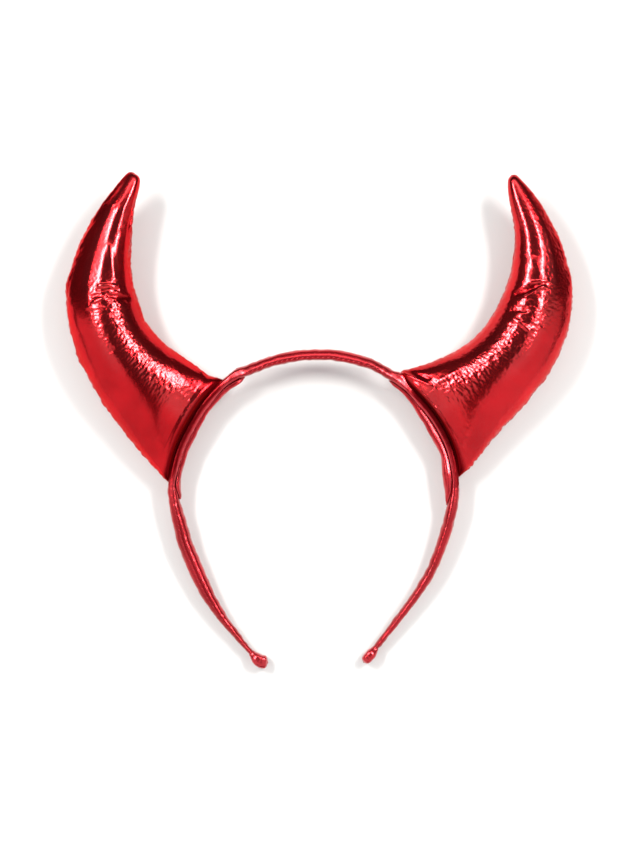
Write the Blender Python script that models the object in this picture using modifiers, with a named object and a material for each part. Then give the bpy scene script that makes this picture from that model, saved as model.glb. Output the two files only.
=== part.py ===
"""Devil horns headband: a sleeved hair band with two stuffed metallic cloth horns.

It lies on its back, on the bellies of both horns and the two ends of the band.
Sizes are in millimetres until the meshes are made. In the face plane x runs to the
right, y from the ends of the band to the tips of the horns, and z to the viewer.
"""

import math

import bmesh
import bpy
import numpy as np

MM = 0.001
GAP = 0.35

# Band: centre line in the face plane, seen thickness, depth front to back
BAND_ROWS = (
    # x, y, thick, depth
    (-26.4, -78.1, 1.9, 4.0),
    (-29.4, -75.0, 2.4, 4.6),
    (-33.5, -70.2, 2.9, 5.2),
    (-42.1, -59.4, 4.4, 6.4),
    (-48.8, -48.6, 6.0, 7.4),
    (-53.8, -37.8, 6.7, 8.0),
    (-58.3, -27.0, 6.7, 8.2),
    (-61.2, -16.2, 6.1, 8.2),
    (-63.4, -6.8, 5.0, 7.8),
    (-64.1, 1.5, 3.7, 7.2),
    (-60.9, 15.4, 3.5, 7.0),
    (-55.6, 26.5, 3.5, 7.0),
    (-49.7, 35.8, 3.5, 7.0),
    (-41.4, 44.6, 3.6, 7.0),
    (-34.2, 49.4, 4.2, 7.6),
    (-30.2, 51.1, 4.7, 8.2),
    (-20.2, 55.0, 4.8, 8.2),
    (-8.6, 57.6, 4.9, 8.2),
    (1.4, 58.2, 4.9, 8.2),
    (11.2, 57.6, 4.9, 8.2),
    (24.8, 54.1, 4.8, 8.2),
    (33.0, 49.6, 4.4, 7.8),
    (41.2, 43.4, 3.5, 7.0),
    (50.5, 33.8, 3.5, 7.0),
    (56.6, 24.7, 3.5, 7.0),
    (60.7, 15.5, 3.5, 7.0),
    (62.6, 6.4, 3.6, 7.0),
    (62.9, -1.8, 3.9, 7.2),
    (61.7, -10.5, 4.9, 8.0),
    (59.6, -18.9, 5.0, 8.0),
    (57.0, -27.0, 4.7, 7.8),
    (52.8, -37.8, 4.5, 7.3),
    (46.4, -48.6, 4.1, 6.8),
    (38.4, -59.4, 3.4, 6.0),
    (30.0, -70.2, 2.8, 5.0),
    (27.6, -73.2, 2.4, 4.5),
    (24.8, -76.8, 1.9, 4.0),
)
BAND_STEPS = 84
BAND_CORNER = 1.9
CROWN_X = 1.4
CROWN_HALF = 7.5
CROWN_SLACK = 1.6

# Horns: one row a section, from the section next to the band to the tip
HORN_LEFT_ROWS = (
    # inner x, inner y, outer x, outer y, depth, bow, fullness
    (-47.7, 49.1, -70.7, 5.4, 17.0, 2.6, 0.44),
    (-53.6, 53.1, -77.9, 13.5, 22.6, 1.6, 0.50),
    (-60.8, 58.1, -86.4, 24.3, 25.8, 0.9, 0.54),
    (-67.5, 63.0, -95.0, 35.6, 27.7, 0.4, 0.57),
    (-73.4, 69.3, -102.6, 48.1, 28.6, 0.0, 0.58),
    (-77.4, 76.0, -108.5, 62.1, 28.2, 0.0, 0.58),
    (-80.0, 83.7, -111.9, 75.6, 26.6, 0.0, 0.58),
    (-82.4, 92.2, -111.8, 89.1, 24.2, 0.0, 0.57),
    (-83.1, 101.7, -108.5, 102.0, 21.2, 0.0, 0.56),
    (-82.7, 112.0, -103.4, 114.0, 17.2, 0.0, 0.55),
    (-81.3, 123.3, -96.7, 124.9, 14.0, 0.0, 0.54),
    (-79.3, 131.4, -90.1, 133.5, 9.8, 0.0, 0.53),
    (-78.8, 137.4, -85.6, 138.8, 6.0, 0.0, 0.52),
    (-81.2, 139.9, -83.8, 140.3, 2.4, 0.0, 0.50),
)
HORN_RIGHT_ROWS = (
    # inner x, inner y, outer x, outer y, depth, bow, fullness
    (38.9, 50.9, 70.0, 7.6, 17.0, 3.1, 0.44),
    (48.8, 53.7, 76.5, 15.5, 22.2, 1.6, 0.50),
    (57.1, 57.1, 84.7, 24.9, 25.3, 0.9, 0.54),
    (63.9, 60.4, 92.7, 33.5, 27.2, 0.4, 0.57),
    (69.8, 64.6, 99.5, 41.6, 28.3, 0.0, 0.58),
    (75.2, 70.0, 105.8, 50.1, 28.7, 0.0, 0.58),
    (80.2, 77.0, 111.1, 61.0, 27.9, 0.0, 0.58),
    (84.6, 85.5, 114.8, 73.8, 25.8, 0.0, 0.57),
    (87.8, 94.5, 115.7, 88.2, 23.0, 0.0, 0.57),
    (89.5, 104.4, 113.4, 99.9, 19.5, 0.0, 0.56),
    (89.8, 114.3, 109.4, 111.6, 16.5, 0.0, 0.55),
    (88.2, 123.3, 103.5, 122.9, 13.0, 0.0, 0.54),
    (86.9, 131.0, 97.7, 131.4, 9.5, 0.0, 0.53),
    (86.8, 136.6, 92.8, 137.0, 6.0, 0.0, 0.52),
    (88.2, 138.9, 90.8, 139.0, 2.4, 0.0, 0.50),
)
# The base of a horn lies along the outer edge of the band, by length from the crown
HORN_LEFT_BASE = (-44.0, -96.5)
HORN_RIGHT_BASE = (39.5, 91.0)
BASE_DEPTH = 7.4
BASE_FULLNESS = 0.30
HORN_STEPS = 38
HORN_AROUND = 34

# Dents and folds: where along the horn (by row), where across it, and how deep
DENTS_LEFT = (
    # row, across, row spread, across spread, depth
    (7.45, 0.42, 0.22, 0.30, 1.7),
    (7.95, 0.62, 0.20, 0.22, 1.0),
    (6.05, 0.95, 0.22, 0.20, 1.2),
    (9.20, 0.55, 0.90, 0.10, 0.9),
    (4.60, 0.50, 1.60, 0.10, 0.9),
    (2.20, 0.36, 1.10, 0.07, 0.8),
)
DENTS_RIGHT = (
    # row, across, row spread, across spread, depth
    (8.60, 0.25, 0.22, 0.32, 1.7),
    (7.60, 0.12, 0.20, 0.22, 1.2),
    (9.30, 0.70, 0.20, 0.24, 0.9),
    (10.6, 0.50, 0.90, 0.10, 0.9),
    (5.20, 0.48, 1.60, 0.10, 0.9),
    (2.20, 0.62, 1.10, 0.07, 0.8),
)
BACK_DENT_SHARE = 0.25
GATHERS = 7
GATHER_HEIGHT = 0.7
GATHER_ROWS = 1.6

# Base wraps: the cloth of a horn turned round the band, by length from the crown
WRAP_LEFT_ROWS = (
    # along, slant, from angle, to angle, inner, back
    (-36.5, 1.6, 66, 192, 0.0, 0.0),
    (-41.0, 1.0, 44, 194, 0.8, 0.3),
    (-45.5, 0.4, 40, 195, 0.8, 0.4),
    (-52.0, 0.0, 46, 195, 0.7, 0.5),
    (-60.0, 0.0, 50, 195, 0.8, 0.6),
    (-72.0, 0.0, 52, 195, 1.0, 0.6),
    (-84.0, 0.0, 50, 195, 0.9, 0.5),
    (-92.0, 0.0, 40, 195, 0.6, 0.4),
    (-97.0, -0.6, 34, 195, 0.5, 0.3),
    (-100.5, -1.0, 44, 193, 0.1, 0.2),
    (-103.0, -1.4, 66, 188, -0.1, 0.0),
)
WRAP_RIGHT_ROWS = (
    # along, slant, from angle, to angle, inner, back
    (36.5, -1.4, 66, 194, 0.0, 0.0),
    (42.0, -0.8, 50, 194, 0.1, 0.3),
    (49.0, 0.0, 48, 195, 0.8, 0.4),
    (56.0, 0.0, 52, 195, 1.9, 0.5),
    (62.0, 0.0, 54, 195, 2.5, 0.6),
    (68.0, 0.0, 54, 195, 2.7, 0.6),
    (74.0, 0.0, 52, 195, 2.4, 0.6),
    (79.5, 0.0, 46, 195, 1.9, 0.5),
    (84.0, 0.2, 38, 195, 2.2, 0.5),
    (88.5, 0.6, 30, 195, 2.5, 0.5),
    (93.0, 1.0, 30, 195, 2.0, 0.4),
    (98.0, 1.4, 36, 194, 0.7, 0.3),
    (102.0, 1.8, 66, 190, 0.0, 0.0),
)
WRAP_WALL = 1.0
WRAP_GAP = 0.5
WRAP_STEPS = 24
WRAP_AROUND = 16

# End folds: the sleeve turned over each end of the band
END_LEFT_ROWS = (
    # x, y, thick, depth
    (-28.7, -75.8, 4.4, 6.6),
    (-27.0, -77.6, 4.8, 7.2),
    (-25.0, -79.4, 5.8, 7.4),
    (-22.9, -80.0, 5.9, 6.8),
    (-21.1, -80.2, 5.0, 5.4),
)
END_RIGHT_ROWS = (
    # x, y, thick, depth
    (27.4, -73.6, 4.4, 6.4),
    (25.9, -75.6, 4.6, 7.5),
    (24.2, -77.6, 4.7, 7.7),
    (22.9, -79.0, 4.3, 7.1),
    (21.8, -80.3, 3.0, 4.4),
)
END_STEPS = 9
END_CORNER = 1.6
SOCKET_LENGTH = 12.0
SOCKET_STEPS = 7

# How far a belly is pressed flat by the floor
BELLY_PRESS = 0.7
LEAN_TRIES = 20

CLOTH_RED = (0.55, 0.010, 0.022)
WRAP_RED = (0.58, 0.014, 0.028)
BAND_RED = (0.56, 0.012, 0.026)


def between(rows, at):
    """A smooth value of each column at a row number that may lie between two rows."""
    rows = np.asarray(rows, float)
    at = np.clip(np.asarray(at, float), 0, len(rows) - 1)
    low = np.minimum(at.astype(int), len(rows) - 2)
    part = (at - low)[..., None]
    before = rows[np.maximum(low - 1, 0)]
    start, stop = rows[low], rows[low + 1]
    after = rows[np.minimum(low + 2, len(rows) - 1)]
    slope_in, slope_out = (stop - before) / 2, (after - start) / 2
    square, cube = part**2, part**3
    return (
        (2 * cube - 3 * square + 1) * start
        + (cube - 2 * square + part) * slope_in
        + (3 * square - 2 * cube) * stop
        + (cube - square) * slope_out
    )


def path_of(rows, fine=12):
    """The smooth rows, the length along them and the outward normal at each point."""
    line = between(rows, np.linspace(0, len(rows) - 1, fine * (len(rows) - 1) + 1))
    steps = np.hypot(*np.diff(line[:, :2], axis=0).T)
    along = np.concatenate([[0], np.cumsum(steps)])
    ahead = np.gradient(line[:, :2], along, axis=0)
    ahead /= np.linalg.norm(ahead, axis=1)[:, None]
    return line, along, np.stack([-ahead[:, 1], ahead[:, 0]], axis=1)


def sample(path, at):
    """Rows and normals of a path at the given lengths."""
    line, along, normals = path
    row = np.stack([np.interp(at, along, column) for column in line.T], axis=-1)
    normal = np.stack([np.interp(at, along, column) for column in normals.T], axis=-1)
    return row, normal / np.linalg.norm(normal, axis=-1, keepdims=True)


def rounded_box(thick, depth, corner, arc=4):
    """Ring of (outward, forward) points of a strip's section, with round corners."""
    corner = min(corner, 0.48 * thick, 0.48 * depth)
    ring = []
    for quarter in range(4):
        turn = quarter * math.pi / 2
        side_x = 1 if quarter in (0, 3) else -1
        side_z = 1 if quarter in (0, 1) else -1
        for step in range(arc):
            angle = turn + step / (arc - 1) * math.pi / 2
            out = side_x * (thick / 2 - corner) + corner * math.cos(angle)
            forward = side_z * (depth / 2 - corner) + corner * math.sin(angle)
            ring.append((out, forward))
    return np.array(ring)


def strip_rings(path, lengths, corner, grow=0.0):
    """One ring of points for each length along a strip's path."""
    rings = []
    rows, normals = sample(path, np.asarray(lengths, float))
    for (x, y, thick, depth), normal in zip(rows, normals):
        section = rounded_box(thick + 2 * grow, depth + 2 * grow, corner + grow)
        plane = np.array([x, y]) + section[:, :1] * normal
        rings.append(np.column_stack([plane, section[:, 1]]))
    return rings


def dent_depth(dents, row, across):
    """How far all dents together push the cloth in at one place of a horn."""
    total = 0.0
    for at_row, at_across, row_spread, across_spread, depth in dents:
        near_row = math.exp(-(((row - at_row) / row_spread) ** 2))
        near_across = math.exp(-(((across - at_across) / across_spread) ** 2))
        total += depth * near_row * near_across
    return total


def horn_rings(rows, base, dents, crown):
    """Rings of a stuffed horn, from its base along the band to its tip."""
    turn = np.arange(HORN_AROUND) / HORN_AROUND * 2 * math.pi
    across = (1 - np.cos(turn)) / 2
    side = np.where(turn < math.pi, 1.0, -1.0)
    arch = 4 * across * (1 - across)
    lengths = crown + base[0] + (base[1] - base[0]) * across
    band_row, band_normal = sample(BAND_PATH, lengths)
    edge = band_row[:, :2] + band_normal * (band_row[:, 2:3] / 2 + GAP)
    base_half = BASE_DEPTH / 2 * arch**BASE_FULLNESS
    first = np.column_stack([edge, side * base_half])
    rings = [first]
    toward_tip = np.sign(rows[0][0])
    for row in np.linspace(0, len(rows) - 1, HORN_STEPS):
        ix, iy, ox, oy, depth, bow, fullness = between(rows, row)
        inner, outer = np.array([ix, iy]), np.array([ox, oy])
        chord = outer - inner
        square = np.array([-chord[1], chord[0]]) * toward_tip / np.linalg.norm(chord)
        plane = inner + chord * across[:, None] + square * bow * arch[:, None]
        half = depth / 2 * arch**fullness
        gather = GATHER_HEIGHT * max(0.0, 1 - row / GATHER_ROWS)
        ripple = gather * np.sin(across * GATHERS * 2 * math.pi) * arch
        push = np.array([dent_depth(dents, row, place) for place in across]) * arch
        push *= np.where(side > 0, 1.0, BACK_DENT_SHARE)
        half = np.maximum(half + ripple - push, 0.25 * half)
        rings.append(np.column_stack([plane, side * half]))
    return rings


def wrap_grid(rows, crown):
    """Points of the cloth turned round the band, seen as a sheet of rows and columns."""
    grid = []
    for row in np.linspace(0, len(rows) - 1, WRAP_STEPS):
        along, slant, start, stop, inner, back = between(rows, row)
        line = []
        for angle in np.radians(np.linspace(start, stop, WRAP_AROUND)):
            forward, inward = math.cos(angle), math.sin(angle)
            (x, y, thick, depth), normal = sample(BAND_PATH, crown + along + slant * inward)
            across, along_z = abs(inward) * 2 / thick, abs(forward) * 2 / depth
            reach = (across**4 + along_z**4) ** -0.25
            lift = inner * max(inward, 0) ** 2 + back * max(-forward, 0) ** 2
            radius = reach + WRAP_GAP + lift
            plane = np.array([x, y]) - normal * radius * inward
            line.append((plane[0], plane[1], radius * forward))
        grid.append(line)
    return np.array(grid)


def lean_of(bellies, ends):
    """Lean about x that lets pressed bellies and both ends touch the floor."""
    lean = 0.0
    for _ in range(LEAN_TRIES):
        down = np.array([0.0, math.sin(lean), math.cos(lean)])
        belly = bellies[np.argmin(bellies @ down)]
        end = ends[np.argmin(ends @ down)]
        belly_z = belly[2] + BELLY_PRESS
        lean = math.atan2(end[2] - belly_z, belly[1] - end[1])
    return lean


def lie_down(points, lean, floor):
    """Face plane to the pose on the floor."""
    points = np.asarray(points, float)
    x, y, z = points[..., 0], points[..., 1], points[..., 2]
    level_y = y * math.cos(lean) - z * math.sin(lean)
    level_z = y * math.sin(lean) + z * math.cos(lean) - floor
    return np.stack([x, level_y, level_z], axis=-1)


def solid_from_rings(name, rings, seam_caps=False):
    """A closed mesh through rings of points. Caps are flat, or strips from front to back."""
    shape = bmesh.new()
    rows = [[shape.verts.new(tuple(point * MM)) for point in ring] for ring in rings]
    count = len(rows[0])
    for low, high in zip(rows, rows[1:]):
        for step in range(count):
            following = (step + 1) % count
            shape.faces.new((low[step], low[following], high[following], high[step]))
    for ring in (rows[0], rows[-1]):
        if not seam_caps:
            shape.faces.new(ring)
            continue
        for step in range(count // 2):
            strip = (ring[step], ring[step + 1], ring[-step - 1], ring[-step])
            shape.faces.new(tuple(dict.fromkeys(strip)))
    return object_from(name, shape)


def sheet_from_grid(name, grid):
    """An open sheet through a grid of points, to be given a wall."""
    shape = bmesh.new()
    rows = [[shape.verts.new(tuple(point * MM)) for point in line] for line in grid]
    for low, high in zip(rows, rows[1:]):
        for step in range(len(low) - 1):
            shape.faces.new((low[step], low[step + 1], high[step + 1], high[step]))
    return object_from(name, shape)


def object_from(name, shape):
    """A mesh object with its faces turned outwards."""
    bmesh.ops.recalc_face_normals(shape, faces=shape.faces[:])
    mesh = bpy.data.meshes.new(name)
    shape.to_mesh(mesh)
    shape.free()
    for polygon in mesh.polygons:
        polygon.use_smooth = True
    return bpy.data.objects.new(name, mesh)


def material(name, colour, roughness, metallic):
    made = bpy.data.materials.new(name)
    made.use_nodes = True
    shader = made.node_tree.nodes["Principled BSDF"]
    shader.inputs["Base Color"].default_value = (*colour, 1.0)
    shader.inputs["Roughness"].default_value = roughness
    shader.inputs["Metallic"].default_value = metallic
    return made


def collection(name, hidden=False):
    made = bpy.data.collections.new(name)
    made.hide_render = hidden
    bpy.context.scene.collection.children.link(made)
    return made


def outward_sheet(sheet, centre):
    """Turns a sheet's faces so that they look away from a line of centre points."""
    mesh = sheet.data
    votes = 0
    for polygon in mesh.polygons:
        nearest = centre[np.argmin(np.linalg.norm(centre - np.array(polygon.center), axis=1))]
        votes += 1 if np.dot(polygon.normal, np.array(polygon.center) - nearest) > 0 else -1
    if votes < 0:
        mesh.flip_normals()


def flatten_crown(points, crown):
    """Levels the inner side of the band under the crown, where a head carries it."""
    under = np.abs(points[..., 0] - crown[0]) <= CROWN_HALF
    inner_side = under & (points[..., 1] < crown[1] - CROWN_SLACK)
    level = points[..., 1][inner_side].min()
    points[..., 1] = np.where(inner_side, level, points[..., 1])
    return points


def socket_rings(at_end, beyond):
    """Rings of the band's own end, grown by the gap, to cut an end fold with."""
    lengths = np.linspace(at_end - beyond * SOCKET_LENGTH, at_end, SOCKET_STEPS)
    rings = strip_rings(BAND_PATH, lengths, BAND_CORNER, grow=GAP)
    _, normal = sample(BAND_PATH, at_end)
    ahead = np.array([normal[1], -normal[0], 0.0]) * beyond
    return rings + [rings[-1] + ahead * GAP]


for existing in list(bpy.data.objects):
    bpy.data.objects.remove(existing, do_unlink=True)

BAND_PATH = path_of(BAND_ROWS)
BAND_LENGTH = BAND_PATH[1][-1]
CROWN = np.interp(CROWN_X, BAND_PATH[0][:, 0], BAND_PATH[1])

headband = collection("devil_horns_headband")
cutters = collection("cutters", hidden=True)

band_lengths = np.linspace(0, BAND_LENGTH, BAND_STEPS)
rings_of = {
    "band": strip_rings(BAND_PATH, band_lengths, BAND_CORNER),
    "horn_left": horn_rings(HORN_LEFT_ROWS, HORN_LEFT_BASE, DENTS_LEFT, CROWN),
    "horn_right": horn_rings(HORN_RIGHT_ROWS, HORN_RIGHT_BASE, DENTS_RIGHT, CROWN),
}
for name, rows in (("end_fold_left", END_LEFT_ROWS), ("end_fold_right", END_RIGHT_ROWS)):
    end_path = path_of(rows)
    end_lengths = np.linspace(0, end_path[1][-1], END_STEPS)
    rings_of[name] = strip_rings(end_path, end_lengths, END_CORNER)

# The lean and the floor of the pose, from bellies and ends
bellies = np.concatenate(rings_of["horn_left"] + rings_of["horn_right"])
ends = np.concatenate(rings_of["end_fold_left"] + rings_of["end_fold_right"])
LEAN = lean_of(bellies, ends)
FLOOR = (ends[:, 1] * math.sin(LEAN) + ends[:, 2] * math.cos(LEAN)).min()
placed = {name: lie_down(rings, LEAN, FLOOR) for name, rings in rings_of.items()}
everything = np.concatenate([points.reshape(-1, 3) for points in placed.values()])
MIDDLE = (everything.min(axis=0) + everything.max(axis=0)) / 2
SHIFT = np.array([-MIDDLE[0], -MIDDLE[1], 0.0])

# Band with the small flat of its sleeve under the crown
crown_row, _ = sample(BAND_PATH, CROWN)
crown_point = lie_down([crown_row[0], crown_row[1], 0.0], LEAN, FLOOR) + SHIFT
band = solid_from_rings("band", flatten_crown(placed["band"] + SHIFT, crown_point))
band.data.materials.append(material("band_sleeve", BAND_RED, 0.34, 0.75))
headband.objects.link(band)

# Horns pressed flat where they lie on the floor
for name in ("horn_left", "horn_right"):
    points = placed[name] + SHIFT
    points[..., 2] = np.maximum(points[..., 2], 0.0)
    horn = solid_from_rings(name, points, seam_caps=True)
    horn.data.materials.append(material(name + "_cloth", CLOTH_RED, 0.30, 0.85))
    headband.objects.link(horn)

# Base wraps: sheets with a cloth wall
centre_line = np.column_stack([BAND_PATH[0][:, :2], np.zeros(len(BAND_PATH[1]))])
centre_line = (lie_down(centre_line, LEAN, FLOOR) + SHIFT) * MM
for name, rows in (("base_wrap_left", WRAP_LEFT_ROWS), ("base_wrap_right", WRAP_RIGHT_ROWS)):
    wrap = sheet_from_grid(name, lie_down(wrap_grid(rows, CROWN), LEAN, FLOOR) + SHIFT)
    outward_sheet(wrap, centre_line)
    wall = wrap.modifiers.new("wall", "SOLIDIFY")
    wall.thickness = WRAP_WALL * MM
    wall.offset = 1.0
    wall.use_even_offset = True
    wrap.data.materials.append(material(name + "_cloth", WRAP_RED, 0.32, 0.8))
    headband.objects.link(wrap)

# End folds: turned-over sleeve with a socket for the band's end
for name, at_end, beyond in (("end_fold_left", 0.0, -1), ("end_fold_right", BAND_LENGTH, 1)):
    fold = solid_from_rings(name, placed[name] + SHIFT)
    rings = lie_down(socket_rings(at_end, beyond), LEAN, FLOOR) + SHIFT
    socket = solid_from_rings(name + "_socket", rings)
    socket.hide_render = True
    socket.display_type = "WIRE"
    cutters.objects.link(socket)
    cut = fold.modifiers.new("socket", "BOOLEAN")
    cut.operation = "DIFFERENCE"
    cut.solver = "EXACT"
    cut.object = socket
    fold.data.materials.append(material(name + "_sleeve", BAND_RED, 0.34, 0.75))
    headband.objects.link(fold)

print("lean", round(math.degrees(LEAN), 3), "shift", SHIFT, "floor", FLOOR)
print("length along the band, mm:", round(BAND_LENGTH, 1))
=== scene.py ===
# %% [markdown]
# # A devil horns headband in red metallic cloth
# The real thing is a thin springy hair band in a cloth sleeve, with two stuffed horns sewn to
# it. It lies on its back here, as it does when put down: on the bellies of the horns and on the
# two ends of the band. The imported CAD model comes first, because every piece is made around it.

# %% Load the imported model
import math

import bpy
import numpy as np
from mathutils import Matrix, Vector, noise


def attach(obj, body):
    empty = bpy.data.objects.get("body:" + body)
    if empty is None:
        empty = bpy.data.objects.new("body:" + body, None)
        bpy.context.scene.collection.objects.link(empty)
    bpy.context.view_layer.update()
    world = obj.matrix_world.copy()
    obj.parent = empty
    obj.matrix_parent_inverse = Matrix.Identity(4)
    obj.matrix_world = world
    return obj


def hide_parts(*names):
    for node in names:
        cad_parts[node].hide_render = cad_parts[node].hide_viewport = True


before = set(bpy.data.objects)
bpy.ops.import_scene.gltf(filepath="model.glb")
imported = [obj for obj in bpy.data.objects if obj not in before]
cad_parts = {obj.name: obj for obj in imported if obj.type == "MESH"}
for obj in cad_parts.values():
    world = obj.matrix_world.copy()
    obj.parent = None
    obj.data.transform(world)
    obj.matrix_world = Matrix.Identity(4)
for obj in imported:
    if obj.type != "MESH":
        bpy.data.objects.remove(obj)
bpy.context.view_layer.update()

print("nodes:", ", ".join(sorted(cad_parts)))

# %% [markdown]
# ## Smooth curves through a few rows
# A pattern maker marks a few stations along a shape and lets a smooth curve run through them.
# The tables below do the same: a row for each station and a column for each measure, in
# millimetres in the plane of the headband, with x to the right and y from the ends of the band
# to the tips of the horns. A cubic through four neighbouring rows gives everything between.

# %% Curves and the pose
MM = 0.001
LEAN = math.radians(4.153)
FLOOR = -9.514164
SHIFT = np.array([-1.746106, -28.571539, 0.0])


def between(rows, at):
    """A smooth value of each column at a row number that may lie between two rows."""
    rows = np.asarray(rows, float)
    at = np.clip(np.asarray(at, float), 0, len(rows) - 1)
    low = np.minimum(at.astype(int), len(rows) - 2)
    part = (at - low)[..., None]
    before, start = rows[np.maximum(low - 1, 0)], rows[low]
    stop, after = rows[low + 1], rows[np.minimum(low + 2, len(rows) - 1)]
    slope_in, slope_out = (stop - before) / 2, (after - start) / 2
    square, cube = part**2, part**3
    return (
        (2 * cube - 3 * square + 1) * start
        + (cube - 2 * square + part) * slope_in
        + (3 * square - 2 * cube) * stop
        + (cube - square) * slope_out
    )


def path_of(rows, fine=16):
    """The smooth rows, the length along them and the outward normal at each point."""
    line = between(rows, np.linspace(0, len(rows) - 1, fine * (len(rows) - 1) + 1))
    steps = np.hypot(*np.diff(line[:, :2], axis=0).T)
    along = np.concatenate([[0], np.cumsum(steps)])
    ahead = np.gradient(line[:, :2], along, axis=0)
    ahead /= np.linalg.norm(ahead, axis=1)[:, None]
    return line, along, np.stack([-ahead[:, 1], ahead[:, 0]], axis=1)


def sample(path, at):
    """Rows and outward normals of a path at the given lengths."""
    line, along, normals = path
    row = np.stack([np.interp(at, along, column) for column in line.T], axis=-1)
    normal = np.stack([np.interp(at, along, column) for column in normals.T], axis=-1)
    return row, normal / np.linalg.norm(normal, axis=-1, keepdims=True)


def lie_down(points):
    """From the plane of the headband, in millimetres, to where it lies on the floor, in metres."""
    points = np.asarray(points, float)
    x, y, z = points[..., 0], points[..., 1], points[..., 2]
    level_y = y * math.cos(LEAN) - z * math.sin(LEAN)
    level_z = y * math.sin(LEAN) + z * math.cos(LEAN) - FLOOR
    return (np.stack([x, level_y, level_z], axis=-1) + SHIFT) * MM


# %% [markdown]
# ## Camera
# The picture is taken straight at the face of the headband, so the camera stands over it, square
# to its lean. A long lens from far off keeps both horns free of perspective, as a product
# picture does.

# %% Camera
PICTURE_MIDDLE = (2.25, 25.9, 0.0)
PICTURE_HEIGHT = 383.85
LENS = 100.0
SENSOR = 36.0

camera_data = bpy.data.cameras.new("camera")
camera_data.lens = LENS
camera_data.sensor_width = SENSOR
camera_data.sensor_fit = "AUTO"
camera = bpy.data.objects.new("camera", camera_data)
aim = Vector(lie_down(PICTURE_MIDDLE))
face_on = Vector((0.0, -math.sin(LEAN), math.cos(LEAN)))
camera.location = aim + face_on * (PICTURE_HEIGHT * MM * LENS / SENSOR)
camera.rotation_euler = (LEAN, 0.0, 0.0)
bpy.context.scene.collection.objects.link(camera)
bpy.context.scene.camera = camera
print("camera height, m:", round(camera.location.z, 3))

# %% [markdown]
# ## Floor and studio light
# Foil-like cloth shows little of its own colour: it shows the room, tinted red. Two tall
# softboxes stand beyond the tips of the horns and draw the long streaks, and a wider, dim halo
# behind each softens the edges of its streak. Two broad white cards at the near side fill the
# smooth lower halves, a long far card lights the top of the band, and the room stays dim, which
# leaves the dark bands between the streaks. The floor is plain and pale.

# %% Floor and lights
FLOOR_SIZE = 4.0
FLOOR_DROP = 0.0003
FLOOR_GREY = (0.72, 0.72, 0.72)
ROOM = (0.08, 0.08, 0.085, 1.0)
WHITE = (1.0, 1.0, 1.0)
PAIRED_LIGHTS = (
    # name, direction on the right, distance, size, radiance, colour
    ("softbox", (0.51, 0.32, 0.80), 1.3, (0.21, 0.50), 36.0, (1.0, 1.0, 0.96)),
    ("halo", (0.51, 0.32, 0.80), 1.35, (0.40, 0.80), 0.8, WHITE),
    ("near_card", (0.63, -0.50, 0.58), 1.2, (1.85, 1.68), 0.90, WHITE),
)


def plain_material(name, colour, roughness):
    made = bpy.data.materials.new(name)
    made.use_nodes = True
    shader = made.node_tree.nodes["Principled BSDF"]
    shader.inputs["Base Color"].default_value = (*colour, 1.0)
    shader.inputs["Roughness"].default_value = roughness
    return made


def softbox(name, direction, distance, size, radiance, colour):
    """A flat light that faces the object, with its brightness given as radiance."""
    light = bpy.data.lights.new(name, "AREA")
    light.shape = "RECTANGLE"
    light.size, light.size_y = size
    light.energy = radiance * math.pi * size[0] * size[1]
    light.color = colour
    lamp = bpy.data.objects.new(name, light)
    toward = Vector(direction).normalized()
    sideways = Vector((0.0, 1.0, 0.0)).cross(toward).normalized()
    turned = Matrix((sideways, toward.cross(sideways), toward)).transposed()
    lamp.matrix_world = Matrix.Translation(aim + toward * distance) @ turned.to_4x4()
    lamp.visible_camera = False
    bpy.context.scene.collection.objects.link(lamp)
    return lamp


floor_mesh = bpy.data.meshes.new("floor")
reach = FLOOR_SIZE / 2
corners = ((-reach, -reach), (reach, -reach), (reach, reach), (-reach, reach))
floor_mesh.from_pydata([(x, y, -FLOOR_DROP) for x, y in corners], [], [(0, 1, 2, 3)])
floor = bpy.data.objects.new("floor", floor_mesh)
floor_mesh.materials.append(plain_material("pale_floor", FLOOR_GREY, 0.7))
bpy.context.scene.collection.objects.link(floor)

for name, (right, ahead, up), *rest in PAIRED_LIGHTS:
    softbox(name + "_left", (-right, ahead, up), *rest)
    softbox(name + "_right", (right, ahead, up), *rest)
softbox("far_card", (0.0, 0.64, 0.77), 1.3, (1.10, 0.24), 3.4, WHITE)

world = bpy.data.worlds.new("dim_room")
world.use_nodes = True
world.node_tree.nodes["Background"].inputs["Color"].default_value = ROOM
bpy.context.scene.world = world
bpy.context.scene.view_settings.view_transform = "Standard"

# %% [markdown]
# ## Writing materials as sums
# A material is a graph of nodes, which is long to write node by node. One small class wraps a
# socket, so that ordinary Python sums add the Math nodes, one method mixes two colours by it,
# and one makes any other node.

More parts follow.
